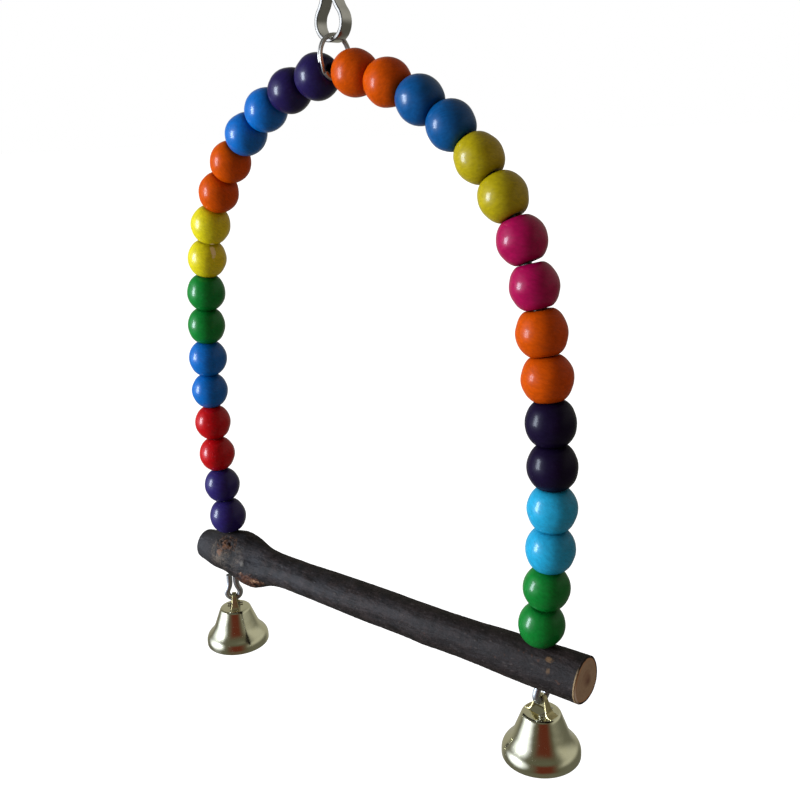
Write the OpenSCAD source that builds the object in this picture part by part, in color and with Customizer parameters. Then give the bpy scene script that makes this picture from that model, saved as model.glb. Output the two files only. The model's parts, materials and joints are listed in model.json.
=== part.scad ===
// Beaded bird swing: an arched wire with wooden beads, a branch perch, two bells and a hanging clip.
// Millimetres, +Z up. X runs along the perch, -Y is the front.
// The origin is the middle of the clip's upper loop, on the axis of the bar that it hangs on.

/* [Beads] */
// Beads on each leg of the arch
beads_per_leg = 16; // [14:1:18]
// Diameter of a bead
bead_d = 15; // [13.5:0.5:16]
// Length of a bead along the wire
bead_len = 13; // [12:0.5:14]
// Drilled hole through a bead
bead_bore = 4.2; // [4:0.1:4.8]
// Radius of the domed end of a bead
bead_end_r = 20; // [16:1:30]
// Gap between one bead and the next
bead_gap = 0.35; // [0.3:0.05:0.8]
// How far a bead rides outside the middle of the wire
bead_ride = 0.4; // [0.2:0.1:0.5]

/* [Arch wire] */
// Thickness of the wire
wire_d = 2.4; // [2:0.1:2.6]
// Bend radius at the very top, under the ring
crown_r = 25; // [20:1:60]
// Turn of each half of the crown bend
crown_turn = 7; // [4:0.1:8]
// Bend radius of the rounded shoulders
shoulder_r = 81; // [74:1:90]
// Turn of each shoulder
shoulder_turn = 71.5; // [68:0.5:76]
// Bend radius of the nearly straight legs
leg_r = 290; // [240:2:340]
// Bend radius that sets the wire upright above the perch
tail_r = 40; // [30:1:60]

/* [Wire eyes] */
// Bend radius of the eye below the perch
eye_r = 2.7; // [2.7:0.05:3]
// Bend radius where the wire opens into the left eye
left_eye_neck_r = 8; // [6:0.5:10]
// Bend radius where the wire opens into the right eye
right_eye_neck_r = 3; // [2.6:0.2:6]
// Space between the two strands at the neck of the eye
eye_neck_gap = 0.2; // [0.1:0.05:0.5]
// Drop of the left eye below the branch
left_eye_drop = 3.4; // [0.3:0.1:4]
// Drop of the right eye below the branch
right_eye_drop = 0.3; // [0.3:0.1:2.4]
// Turn of the left eye away from the length of the perch
left_eye_yaw = 230; // [200:1:250]
// Turn of the right eye away from the length of the perch
right_eye_yaw = 82; // [40:1:90]

/* [Perch] */
// Length of the branch
perch_len = 182; // [170:1:210]
// Thickness of the branch in the middle
perch_d = 13.3; // [12.6:0.1:15]
// How much the left end of the branch thins
perch_taper = 0.5; // [0:0.1:1]
// How much the right end of the branch swells
perch_flare = 1; // [0:0.1:1.5]
// Sag of the branch between the two holes
perch_bow = 0.4; // [0:0.1:2]
// How far the sag lies towards the left
perch_skew = 0.8; // [0:0.1:1]
// Height of the bark's unevenness
bark_ripple = 0.22; // [0:0.02:0.4]
// Place of the knot along the branch
knot_x = -66; // [-67:0.5:-60]
// Swelling all round the branch beside the knot
knot_swell = 3.2; // [1:0.2:3.6]
// Rise of the knot at the top
knot_up = 1.3; // [0.5:0.1:2]
// Rise of the knot below
knot_down = 3.5; // [1:0.1:4]
// Length of the knot along the branch
knot_len = 8; // [5:0.5:9]
// Clearance around the wire in the perch
hole_play = 0.15; // [0.1:0.05:0.3]
// Gap between the lowest bead and the perch
seat_gap = 0.3; // [0.2:0.05:0.6]

/* [Hanging clip] */
// Radius of the bar that fits the upper loop
loop_bore_r = 7.5; // [6.5:0.1:9]
// Width of the strip
strip_w = 4.5; // [3.5:0.1:5.5]
// Thickness of the strip
strip_t = 1.2; // [1:0.1:1.4]
// Bend radius of the lower loop
lower_r = 5.3; // [4.8:0.1:6.5]
// Half of the space between the strips at the waist
waist_half = 1.9; // [1.6:0.1:2.4]
// Bend radius below the waist
waist_low_r = 10.2; // [8:0.2:13]
// Bend radius above the waist
waist_high_r = 4; // [3:0.2:5]
// Bend radius of the step in the lip
lip_r = 2; // [1.6:0.1:2.4]
// Direction at which the step of the lip begins
lip_start = 70; // [66:1:74]
// Length of the lip beyond its step, as a turn
lip_turn = 12; // [8:1:16]
// Gap between the gate and the strip
gate_gap = 0.3; // [0.25:0.05:0.5]
// How much shorter the gate is than the room under the lip
gate_back = 4; // [3.5:0.5:6]

/* [Split ring] */
// Inner radius of the ring
ring_bore_r = 6.05; // [5.6:0.05:7]
// Radial thickness of the flat ring wire
ring_t = 1.1; // [0.9:0.1:1.3]
// Width of one turn of the ring
ring_turn_w = 0.65; // [0.5:0.05:0.7]
// Slit between the two turns
ring_slit = 0.1; // [0.06:0.02:0.14]
// Turn at which each end of the ring wire stops
ring_end_turn = 24; // [16:1:40]
// Gap between the ring and what it bears on
ring_play = 0.2; // [0.15:0.05:0.3]
// Gap between the first beads, measured each side of the middle
ring_half_gap = 1.45; // [1.4:0.05:2]

/* [Bells] */
// Radius of the mouth of a bell
mouth_r = 13; // [12:0.2:14]
// Radius of the flat crown
crown_flat_r = 5.4; // [5.2:0.1:5.8]
// Rounding between crown and wall
crown_round = 1.2; // [1:0.1:1.6]
// Lean of the wall below the crown
wall_lean = 21; // [19:1:24]
// Length of the straight part of the wall
wall_run = 7; // [6:0.2:7.4]
// Turn of the wall as it flares outwards
flare_turn = 26; // [22:1:29]
// Bend radius where the flare turns down into the rim
rim_r = 4; // [3:0.1:4.6]
// Depth of the upright rim
rim_drop = 1.6; // [0.8:0.1:2.2]
// Thickness of the bell metal
bell_t = 0.7; // [0.5:0.05:0.8]
// Width of the raised strap
strap_w = 1.7; // [1.4:0.1:1.7]
// Gap between the strap and the wire eye
strap_play = 0.35; // [0.3:0.05:0.5]
// Slope of the flanks of the strap
strap_slope = 72; // [70:1:76]
// Bend radius where the strap leaves the crown
strap_foot_r = 2; // [1.6:0.1:2.4]
// How far the feet of the strap stand above the crown
strap_proud = 0.15; // [0.1:0.05:0.3]
// Height of the eye wire above the top of the crown
strap_lift = 4.2; // [3.6:0.1:4.6]
// Width of the slot that the strap is raised from
slot_w = 4.3; // [3.8:0.1:4.6]

/* [Clappers] */
// Diameter of the clapper ball
ball_d = 5.5; // [4.5:0.1:6]
// Thickness of the clapper wire
clapper_d = 0.6; // [0.5:0.05:0.7]
// Length of the cross bar that rests on the crown
clapper_bar = 6.4; // [6:0.1:7]
// Distance of the cross bar from the eye wire
clapper_off = 1.9; // [1.8:0.05:2]
// Depth of the middle of the ball below the crown
ball_drop = 11.3; // [10.5:0.1:11.6]
// Gap between the clapper and what it touches
clapper_play = 0.2; // [0.15:0.05:0.25]

/* [Hidden] */
$fn = 64;
wire_r = wire_d / 2;
pitch = bead_len + bead_gap;
// Bends stop this short of each other, and the piece that joins them is this much thicker.
joint_inset = 0.03;
joint_swell = 0.04;

// A bend is [radius, turn] and a straight is [0, length]; a left turn is positive.
function run_of(b) = b[0] == 0 ? b[1] : b[0] * abs(b[1]) * PI / 180;
function part_of(b, s) = b[0] == 0 ? [0, s] : [b[0], b[1] * s / run_of(b)];
function side_of(b) = b[1] > 0 ? 1 : -1;
function after(p, b) = b[0] == 0
    ? [p[0] + b[1] * cos(p[2]), p[1] + b[1] * sin(p[2]), p[2]]
    : [p[0] + side_of(b) * b[0] * (sin(p[2] + b[1]) - sin(p[2])),
       p[1] - side_of(b) * b[0] * (cos(p[2] + b[1]) - cos(p[2])),
       p[2] + b[1]];
function along(bends, s, p = [0, 0, 0], i = 0) =
    s <= run_of(bends[i]) || i == len(bends) - 1
    ? after(p, part_of(bends[i], s))
    : along(bends, s - run_of(bends[i]), after(p, bends[i]), i + 1);

// Clip: the upper loop is centred on the origin, the lower loop hangs below the waist.
upper_r = loop_bore_r + strip_t / 2;
waist_z = -sqrt(pow(upper_r + waist_high_r, 2) - pow(waist_half + waist_high_r, 2));
upper_cut = atan2(-waist_z, waist_half + waist_high_r);
lower_rise = sqrt(pow(lower_r + waist_low_r, 2) - pow(waist_half + waist_low_r, 2));
lower_cut = atan2(lower_rise, waist_half + waist_low_r);
lower_z = waist_z - lower_rise;
lip_step = strip_t + gate_gap;
lip_bend = acos(1 - lip_step / (2 * lip_r));
gate_top = lip_start - asin(2 * lip_r * sin(lip_bend) / upper_r) - gate_back;
gate_skip = gate_gap / waist_high_r * 180 / PI;
gate_foot = after([waist_half, waist_z, 90], [waist_high_r, -gate_skip]);
lip_foot = [upper_r * cos(lip_start), upper_r * sin(lip_start), lip_start - 90];
lip_out = after(after(lip_foot, [lip_r, lip_bend]), [lip_r, -lip_bend]);
lip_tip = after(lip_out, [upper_r + lip_step, -lip_turn]);

// Ring: it hangs in the lower loop and the arch wire hangs in it.
ring_w = 2 * ring_turn_w + ring_slit;
strip_floor_z = lower_z - lower_r + strip_t / 2;
ring_z = strip_floor_z + ring_play - sqrt(pow(ring_bore_r, 2) - pow(strip_w / 2, 2));
arch_z = ring_z - ring_bore_r + ring_play + wire_r;

// Arch: crown, shoulder and leg turn downwards, the tail turns back to upright.
crown_run = run_of([crown_r, crown_turn]);
shoulder_run = run_of([shoulder_r, shoulder_turn]);
last_bead_s = ring_half_gap + pitch * (beads_per_leg - 0.5);
leg_turn = (last_bead_s - crown_run - shoulder_run) / leg_r * 180 / PI;
lean = crown_turn + shoulder_turn + leg_turn - 90;
half_arch = [[crown_r, -crown_turn], [shoulder_r, -shoulder_turn], [leg_r, -leg_turn], [tail_r, lean]];
last_bead = along(half_arch, last_bead_s);
tail_end = after(last_bead, [tail_r, lean]);
hole_x = tail_end[0];
bead_foot = bead_end_r - (bead_end_r - bead_len / 2) * cos(lean);
seat_z = arch_z + last_bead[1] + bead_ride * sin(lean) - bead_foot - seat_gap;

// Branch: [place, direction, height, length, spread]; direction 90 is up and 180 is the front.
knots = [
    [knot_x - 7, 0, knot_swell, knot_len * 4 / 3, 9999],
    [knot_x, 62, knot_up, knot_len, 45],
    [knot_x + 8, 245, knot_down, knot_len, 50],
    [knot_x - 8, 146, 0.6, 4, 24],
    [perch_len / 6, 205, 0.7, 8, 40],
    [perch_len / 2 - 28, 125, 0.8, 6, 34]
];
function turn_gap(a, b) = abs((a - b + 540) % 360 - 180);
function knot_rise(x, a, k) = k[2] * exp(-pow((x - k[0]) / k[3], 2) - pow(turn_gap(a, k[1]) / k[4], 2));
function knots_rise(x, a, i = 0) = i == len(knots) ? 0 : knot_rise(x, a, knots[i]) + knots_rise(x, a, i + 1);
function ripple(x, a) = bark_ripple * (sin(3 * a + 2.3 * x) + sin(2 * a - 5.1 * x) * 0.8);
function perch_r(x, a) = perch_d / 2 + (x < 0 ? -perch_taper : perch_flare) * pow(2 * x / perch_len, 2)
    + ripple(x, a) + knots_rise(x, a);
left_axis_z = seat_z - perch_r(-hole_x, 90);
right_axis_z = seat_z - perch_r(hole_x, 90);
function perch_z(x) = (left_axis_z + right_axis_z) / 2 + (right_axis_z - left_axis_z) / 2 * x / hole_x
    - perch_bow * (1 - pow(x / hole_x, 2)) * (1 - perch_skew * x / hole_x);
perch_steps = 60;
perch_sides = 28;
perch_rings = [for (i = [0 : perch_steps]) -perch_len / 2 + perch_len * i / perch_steps];

// Eyes: each strand leaves the neck and closes round the bottom of the eye.
eye_half_neck = wire_r + eye_neck_gap / 2;
function eye_neck_r(x) = x < 0 ? left_eye_neck_r : right_eye_neck_r;
function eye_fall(x) = sqrt(pow(eye_neck_r(x) + eye_r, 2) - pow(eye_half_neck + eye_neck_r(x), 2));
function eye_cut(x) = atan2(eye_fall(x), eye_half_neck + eye_neck_r(x));
function eye_drop(x) = x < 0 ? left_eye_drop : right_eye_drop;
function eye_yaw(x) = x < 0 ? left_eye_yaw : right_eye_yaw;
function eye_top_z(x) = perch_z(x) - perch_r(x, 270) - eye_drop(x);
function eye_low_z(x) = eye_top_z(x) - eye_fall(x) - eye_r;
function eye_mid(x) = [x + eye_half_neck * cos(eye_yaw(x)), eye_half_neck * sin(eye_yaw(x))];

// Bell: heights are measured from the wire at the bottom of the eye.
crown_z = -strap_lift;
strap_top_r = wire_r + strap_play + bell_t / 2;
strap_fall = strap_top_r + strap_lift + bell_t / 2 - strap_proud;
strap_flank = (strap_fall - (strap_top_r + strap_foot_r) * (1 - cos(strap_slope))) / sin(strap_slope);
strap_reach = (strap_top_r + strap_foot_r) * sin(strap_slope) + strap_flank * cos(strap_slope);
rim_reach = mouth_r - rim_r * (1 - cos(wall_lean + flare_turn));
wall_reach = crown_flat_r + crown_round * cos(wall_lean) + wall_run * sin(wall_lean);
flare_r = (rim_reach - wall_reach) / (cos(wall_lean) - cos(wall_lean + flare_turn));
// The same bends make both faces of the metal; inner is how far a face lies inside the outer one.
function bell_wall(inner) = [
    [crown_round - inner, wall_lean - 90],
    [0, wall_run],
    [flare_r + inner, flare_turn],
    [rim_r - inner, -wall_lean - flare_turn],
    [0, rim_drop]
];
function bend_points(p, b, steps) = [for (k = [1 : steps]) after(p, part_of(b, run_of(b) * k / steps))];
function path_points(bends, p, i = 0) = i == len(bends) ? []
    : concat(bend_points(p, bends[i], bends[i][0] == 0 ? 1 : 7),
             path_points(bends, after(p, bends[i]), i + 1));
function face_points(inner) = [for (p = concat([[crown_flat_r, crown_z - inner, 0]],
    path_points(bell_wall(inner), [crown_flat_r, crown_z - inner, 0]))) [p[0], p[1]]];
bar_z = crown_z + clapper_play + clapper_d / 2;
ball_z = crown_z - ball_drop;

// Carries a flat section along a list of bends, starting at the origin and heading along +X.
// The first child is the section, the second joins one bend to the next.
module bend_along(bends, first_joint = 0, i = 0) {
    b = bends[i];
    inset = b[0] == 0 ? joint_inset : joint_inset / b[0] * 180 / PI;
    if (b[0] == 0)
        translate([inset, 0, 0]) rotate([90, 0, 90]) linear_extrude(b[1] - 2 * inset) children(0);
    else if (b[1] > 0)
        translate([0, b[0], 0]) rotate(inset - 90)
            rotate_extrude(angle = b[1] - 2 * inset) translate([b[0], 0]) children(0);
    else
        translate([0, -b[0], 0]) rotate(90 + b[1] + inset)
            rotate_extrude(angle = -b[1] - 2 * inset) translate([b[0], 0]) children(0);
    if (i >= first_joint)
        children(1);
    if (i < len(bends) - 1) {
        p = after([0, 0, 0], b);
        translate([p[0], p[1], 0]) rotate(p[2]) bend_along(bends, first_joint, i + 1) {
            children(0);
            children(1);
        }
    }
}

module strip_along(bends, thick, wide) {
    bend_along(bends, 1) {
        square([thick, wide], center = true);
        cube([8 * joint_inset, thick + joint_swell, wide + joint_swell], center = true);
    }
}

module wire_along(bends, first_joint) {
    bend_along(bends, first_joint) {
        circle(r = wire_r);
        rotate([0, 90, 0]) cylinder(r = wire_r + joint_swell / 2, h = 8 * joint_inset, center = true);
    }
}

// From the lip over the top, down the left side, round the lower loop and up to the waist.
module clip_strip() {
    color("silver") rotate([90, 0, 0]) translate([lip_tip[0], lip_tip[1], 0]) rotate(lip_tip[2] + 180)
        strip_along([
            [upper_r + lip_step, lip_turn],
            [lip_r, lip_bend],
            [lip_r, -lip_bend],
            [upper_r, 180 + upper_cut - lip_start],
            [waist_high_r, -upper_cut],
            [waist_low_r, -lower_cut],
            [lower_r, 180 + 2 * lower_cut],
            [waist_low_r, -lower_cut]
        ], strip_t, strip_w);
}

module clip_gate() {
    color("silver") rotate([90, 0, 0])
        translate([gate_foot[0], gate_foot[1], 0]) rotate(gate_foot[2])
            strip_along([
                [waist_high_r, gate_skip - upper_cut],
                [upper_r, upper_cut + gate_top]
            ], strip_t, strip_w);
}

module ring_turn_section() {
    square([ring_t, ring_turn_w], center = true);
}

module split_ring() {
    ring_mid_r = ring_bore_r + ring_t / 2;
    turn_off = (ring_turn_w + ring_slit) / 2;
    color("silver") translate([0, 0, ring_z]) rotate([90, 0, 90]) {
        translate([0, 0, turn_off]) rotate(200) rotate_extrude(angle = 360 - ring_end_turn)
            translate([ring_mid_r, 0]) ring_turn_section();
        translate([0, 0, -turn_off]) rotate(200 - ring_end_turn) rotate_extrude(angle = 360 - ring_end_turn)
            translate([ring_mid_r, 0]) ring_turn_section();
        // The crossing carries one turn over to the other.
        rotate(200 + ring_end_turn / 4) rotate_extrude(angle = ring_end_turn / 2)
            translate([ring_mid_r, 0]) square([ring_t - 0.2, ring_turn_w], center = true);
    }
}

module leg_wire(x, first_joint) {
    stem = arch_z + tail_end[1] - eye_top_z(x);
    translate([0, 0, arch_z]) rotate([90, 0, 0]) wire_along(concat(half_arch, [[0, stem]]), first_joint);
}

module wire_eye(x) {
    neck = [eye_neck_r(x), -eye_cut(x)];
    loop = [eye_r, 180 + 2 * eye_cut(x)];
    translate([x, 0, eye_top_z(x)]) rotate(eye_yaw(x)) rotate([90, 0, 0]) rotate(-90)
        wire_along([neck, loop, neck], 0);
}

module arch_wire() {
    color("gainsboro") {
        leg_wire(hole_x, 0);
        mirror([1, 0, 0]) leg_wire(-hole_x, 1);
        wire_eye(hole_x);
        wire_eye(-hole_x);
    }
}

module bead() {
    difference() {
        intersection() {
            sphere(d = bead_d);
            translate([0, 0, bead_len / 2 - bead_end_r]) sphere(r = bead_end_r);
            translate([0, 0, bead_end_r - bead_len / 2]) sphere(r = bead_end_r);
        }
        cylinder(d = bead_bore, h = 2 * bead_len, center = true);
    }
}

// Beads are counted from the top of the arch; side is 1 for the right leg and -1 for the left.
module bead_at(i, side) {
    p = along(half_arch, ring_half_gap + pitch * (i - 0.5));
    x = p[0] - bead_ride * sin(p[2]);
    z = arch_z + p[1] + bead_ride * cos(p[2]);
    translate([side * x, 0, z]) rotate([0, side * (90 - p[2]), 0]) bead();
}

left_colors = ["indigo", "navy", "darkorange", "gold", "forestgreen", "mediumblue", "crimson", "purple"];
right_colors = ["orangered", "navy", "olive", "mediumvioletred", "orange", "indigo", "skyblue", "limegreen"];

module bead_left(i) {
    color(left_colors[floor((i - 1) / 2) % 8]) bead_at(i, -1);
}

module bead_right(i) {
    color(right_colors[floor((i - 1) / 2) % 8]) bead_at(i, 1);
}

module perch() {
    points = [for (x = perch_rings) for (j = [0 : perch_sides - 1])
        let (a = 360 * j / perch_sides)
        [x, perch_r(x, a) * cos(a), perch_z(x) + perch_r(x, a) * sin(a)]];
    sides = [for (i = [0 : perch_steps - 1]) for (j = [0 : perch_sides - 1])
        let (k = (j + 1) % perch_sides, u = i * perch_sides, v = u + perch_sides)
        each [[u + j, v + j, v + k], [u + j, v + k, u + k]]];
    near_end = [for (j = [0 : perch_sides - 1]) j];
    far_end = [for (j = [perch_sides - 1 : -1 : 0]) perch_steps * perch_sides + j];
    color("dimgray") difference() {
        polyhedron(points = points, faces = concat(sides, [near_end, far_end]), convexity = 4);
        for (x = [-hole_x, hole_x])
            translate([x, 0, perch_z(x)]) cylinder(r = wire_r + hole_play, h = 4 * perch_d, center = true);
    }
}

// Places what hangs in an eye: X along the strap, Y along the eye wire, Z up from the eye wire.
module hung_in_eye(x) {
    m = eye_mid(x);
    translate([m[0], m[1], eye_low_z(x)]) rotate(eye_yaw(x) - 90) children();
}

module strap_along(foot) {
    strip_along([
        [0, foot],
        [strap_foot_r, strap_slope],
        [0, strap_flank],
        [strap_top_r, -2 * strap_slope],
        [0, strap_flank],
        [strap_foot_r, strap_slope],
        [0, foot]
    ], bell_t, strap_w);
}

module bell_shell() {
    outside = face_points(0);
    inside = face_points(bell_t);
    turned = [for (k = [len(inside) - 1 : -1 : 0]) inside[k]];
    foot = crown_flat_r - strap_reach;
    difference() {
        rotate_extrude() polygon(concat([[0, crown_z]], outside, turned, [[0, crown_z - bell_t]]));
        translate([0, 0, crown_z])
            cube([2 * strap_reach - 0.6, slot_w, 4 * bell_t], center = true);
    }
    translate([-crown_flat_r, 0, strap_top_r - strap_fall]) rotate([90, 0, 0])
        strap_along(foot);
}

module bell_at(x) {
    color("tan") hung_in_eye(x) bell_shell();
}

module clapper_wire_at(x) {
    color("gray") hung_in_eye(x) translate([clapper_off, 0, 0]) {
        translate([0, 0, bar_z]) rotate([90, 0, 0]) cylinder(d = clapper_d, h = clapper_bar, center = true);
        translate([0, 0, ball_z - ball_d / 2]) cylinder(d = clapper_d, h = bar_z - ball_z + ball_d / 2);
        translate([0, 0, ball_z - ball_d / 2 - 0.6]) cylinder(d = 2.4 * clapper_d, h = 0.6);
    }
}

module clapper_ball_at(x) {
    color("gray") hung_in_eye(x) translate([clapper_off, 0, ball_z]) difference() {
        sphere(d = ball_d);
        cylinder(d = clapper_d + 2 * clapper_play, h = 2 * ball_d, center = true);
    }
}

module bell_left() {
    bell_at(-hole_x);
}

module bell_right() {
    bell_at(hole_x);
}

clip_strip();
clip_gate();
split_ring();
arch_wire();
for (i = [1 : beads_per_leg]) {
    bead_left(i);
    bead_right(i);
}
perch();
bell_left();
clapper_wire_at(-hole_x);  // clapper_wire_left
clapper_ball_at(-hole_x);  // clapper_ball_left
bell_right();
clapper_wire_at(hole_x);  // clapper_wire_right
clapper_ball_at(hole_x);  // clapper_ball_right
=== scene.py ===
# A hanging bird swing: a bark-covered branch perch on an arched wire strung with dyed wooden
# beads, a small bell below each end, and a split ring and spring clip at the top.
import json
import math

import bmesh
import bpy
import numpy as np
from mathutils import Matrix, Vector, noise


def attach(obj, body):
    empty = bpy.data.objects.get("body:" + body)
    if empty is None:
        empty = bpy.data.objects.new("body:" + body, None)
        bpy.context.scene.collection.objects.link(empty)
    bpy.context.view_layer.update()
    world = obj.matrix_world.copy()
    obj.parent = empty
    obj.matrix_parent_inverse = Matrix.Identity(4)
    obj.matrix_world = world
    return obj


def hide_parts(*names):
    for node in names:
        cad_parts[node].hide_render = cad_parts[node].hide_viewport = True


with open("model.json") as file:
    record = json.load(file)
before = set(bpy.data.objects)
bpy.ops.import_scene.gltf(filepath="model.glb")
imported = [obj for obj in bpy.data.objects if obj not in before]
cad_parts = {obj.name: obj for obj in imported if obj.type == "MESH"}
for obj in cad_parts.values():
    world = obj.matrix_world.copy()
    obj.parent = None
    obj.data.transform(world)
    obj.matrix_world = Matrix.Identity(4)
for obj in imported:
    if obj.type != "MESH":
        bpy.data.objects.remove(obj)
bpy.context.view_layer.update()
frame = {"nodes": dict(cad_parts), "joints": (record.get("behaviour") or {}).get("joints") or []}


# Perch: a length of natural branch with its bark on, sawn square at both ends and drilled
# through near each end for the wire. Grown-over knots swell it, most of them near the left end.
MM = 0.001
perch_long, perch_thick, left_taper, right_flare, perch_sag, sag_skew = 182, 13.3, 0.5, 1, 0.4, 0.8
hole_place, hole_radius, seat_height = 74.2223, 1.35, -210.014
# Each ripple is its share, its waves round the branch and its twist in degrees per millimetre.
ripples, ripple_rise = [(1, 3, 2.3), (0.8, 2, -5.1)], 0.22
# Each knot is its place along the branch, its way round, how far it stands out, its length, and
# its spread round the branch in degrees.
all_round = 9999
knots = [
    (-73, 0, 3.2, 8 * 4 / 3, all_round),
    (-66, 62, 1.3, 8, 45),
    (-58, 245, 3.5, 8, 50),
    (-74, 146, 0.6, 4, 24),
    (perch_long / 6, 205, 0.7, 8, 40),
    (63, 125, 0.8, 6, 34),
]


def branch_radius(x, turn):
    """How far the bark is from the branch's axis, at a place along it and a way round in degrees."""
    ripple = sum(much * np.sin(np.radians(waves * turn + twist * x)) for much, waves, twist in ripples)
    swell = -left_taper if x < 0 else right_flare
    radius = perch_thick / 2 + swell * (2 * x / perch_long) ** 2 + ripple_rise * ripple
    for place, way, rise, length, spread in knots:
        aside = np.abs((turn - way + 540) % 360 - 180)
        radius = radius + rise * np.exp(-(((x - place) / length) ** 2) - (aside / spread) ** 2)
    return radius


left_axis = seat_height - branch_radius(-hole_place, 90)
right_axis = seat_height - branch_radius(hole_place, 90)


def branch_axis(x):
    """The height of the branch's axis: it runs from hole to hole and sags between them."""
    level = (left_axis + right_axis) / 2 + (right_axis - left_axis) / 2 * x / hole_place
    return level - perch_sag * (1 - (x / hole_place) ** 2) * (1 - sag_skew * x / hole_place)


def edge_rows(end, cut, angles):
    """The rows that round off the edge of one end."""
    inward = math.copysign(cut, end)
    return [(end - inward * (1 - math.cos(t)), cut * (1 - math.sin(t)), 1) for t in angles]


# Each row is a place along the branch, how far its edge is cut back, and its share of the way
# from the pith to the bark. The left end is worn round, the right end is cleanly sawn.
half, quarter_turn = perch_long / 2, math.pi / 2
worn, sawn, row_step, bark_rows, around = 1.6, 0.35, 0.4, 430, 120
cut_shares = [0.18, 0.36, 0.54, 0.7, 0.84, 0.94]
rows = [(-half, worn, share) for share in cut_shares]
rows += edge_rows(-half, worn, np.linspace(0, quarter_turn, 6))
rows += [(x, 0, 1) for x in np.linspace(-half + worn + row_step, half - sawn - row_step, bark_rows)]
rows += edge_rows(half, sawn, np.linspace(quarter_turn, 0, 4))
rows += [(half, sawn, share) for share in reversed(cut_shares)]
turns = np.arange(around) * 360 / around
# The relief's depths: bark drawn in all over, ridges, grit, a knot's curls and torn bark.
bark_sunk, ridge_rise, grit_rise, curl_rise, torn_rise = 0.1, 0.12, 0.07, 0.35, 0.6
knot_scar, torn_scar = Vector((-70.6, -5.7, -212.8)), Vector((-56.6, -7.3, -224.9))
curl_wide, torn_sizes = 3.6, (6.5, 4, 3)
boss_hollow, boss_nub = Vector((-56, -5.7, -216.4)), Vector((-60.3, -7, -218.2))
# Each swell is a place on the bark, how wide it is and how far it stands out.
swells = [(boss_hollow, 4, -0.55), (boss_nub, 1.3, 0.4), (Vector((-73.5, -6.9, -227)), 6, -1.7),
          (Vector((-59.5, 4.6, -212.5)), 6.5, 0.9), (Vector((-76, 5.4, -212)), 5, -0.5)]


def bark_relief(x, y, z):
    """How far the bark stands out or in at a place: ridges, a knot's curls, torn bark, a nub."""
    here = Vector((x, y, z))
    ridges = noise.fractal(Vector((x * 0.11, y * 0.75, z * 0.75)), 1, 2.1, 4)
    grit = noise.noise(Vector((x * 0.9, y * 1.7, z * 1.7)))
    near = (here - knot_scar).length
    curl = math.sin(near * 2.4 + 1.5 * math.atan2(z - knot_scar.z, x - knot_scar.x))
    away = sum(((a - b) / size) ** 2 for a, b, size in zip((x, y, z), torn_scar, torn_sizes))
    rise = -bark_sunk + ridge_rise * ridges + grit_rise * grit
    rise += curl_rise * math.exp(-((near / curl_wide) ** 2)) * curl
    rise += torn_rise * math.exp(-away) * noise.fractal(here * 0.9, 1, 2, 3)
    return rise + sum(
        out * math.exp(-(((here - spot).length / wide) ** 2)) for spot, wide, out in swells)


# The pith lies off the middle at each end. Relief fades at the edges, and the saw left the cut rough.
left_pith, right_pith = (-0.8, 0.9), (1.9, -1.2)
edge_calm, saw_deep, saw_rough = 0.6, 0.12, 0.1
points, pith_shares = [], []
for x, cut, share in rows:
    radii = branch_radius(x, turns) - cut
    middle = branch_axis(x)
    pith_aside, pith_rise = right_pith if x > 0 else left_pith
    pith = (pith_aside, middle + pith_rise)
    for turn, radius in zip(np.radians(turns), radii):
        y, z = radius * math.cos(turn), middle + radius * math.sin(turn)
        if share == 1:
            radius += bark_relief(x, y, z) * (1 - edge_calm * (cut > 0))
            y, z = radius * math.cos(turn), middle + radius * math.sin(turn)
            along = x
        else:
            y, z = pith[0] + (y - pith[0]) * share, pith[1] + (z - pith[1]) * share
            sunk = saw_deep + saw_rough * noise.noise(Vector((x, y * 0.8, z * 0.8)))
            along = x - math.copysign(sunk, x)
        points.append((along * MM, y * MM, z * MM))
        pith_shares.append(share)
faces = []
for row in range(len(rows) - 1):
    for k in range(around):
        a, b = row * around + k, row * around + (k + 1) % around
        faces.append((a, b, b + around, a + around))
for row, x in ((0, -half), (len(rows) - 1, half)):
    edge = range(row * around, (row + 1) * around)
    points.append(tuple(np.mean([points[k] for k in edge], axis=0)))
    pith_shares.append(0)
    for k in range(around):
        pair = (row * around + k, row * around + (k + 1) % around)
        faces.append((len(points) - 1,) + (pair[::-1] if x < 0 else pair))
branch_mesh = bpy.data.meshes.new("perch_branch")
branch_mesh.from_pydata(points, [], faces)
branch_mesh.attributes.new("pith_share", "FLOAT", "POINT").data.foreach_set("value", pith_shares)


class Value:
    """A node's socket that takes part in sums; each sum adds a Math node to its tree."""

    def __init__(self, socket):
        self.socket = socket

    def sum(self, operation, first, second=0.0, third=0.0):
        """The outcome of a Math node on up to three values."""
        node = self.socket.id_data.nodes.new("ShaderNodeMath")
        node.operation = operation
        for place, value in zip(node.inputs, (first, second, third)):
            feed(place, value)
        return Value(node.outputs[0])

    def __add__(self, other): return self.sum("ADD", self, other)
    def __radd__(self, other): return self.sum("ADD", other, self)
    def __sub__(self, other): return self.sum("SUBTRACT", self, other)
    def __rsub__(self, other): return self.sum("SUBTRACT", other, self)
    def __mul__(self, other): return self.sum("MULTIPLY", self, other)
    def __rmul__(self, other): return self.sum("MULTIPLY", other, self)
    def __truediv__(self, other): return self.sum("DIVIDE", self, other)
    def __rtruediv__(self, other): return self.sum("DIVIDE", other, self)
    def __pow__(self, other): return self.sum("POWER", self, other)
    def __abs__(self): return self.sum("ABSOLUTE", self)


def feed(place, value):
    """Links a value to a node's input, or sets the input to a plain number, colour or name."""
    if isinstance(value, Value):
        place.id_data.links.new(value.socket, place)
    else:
        place.default_value = value


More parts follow.
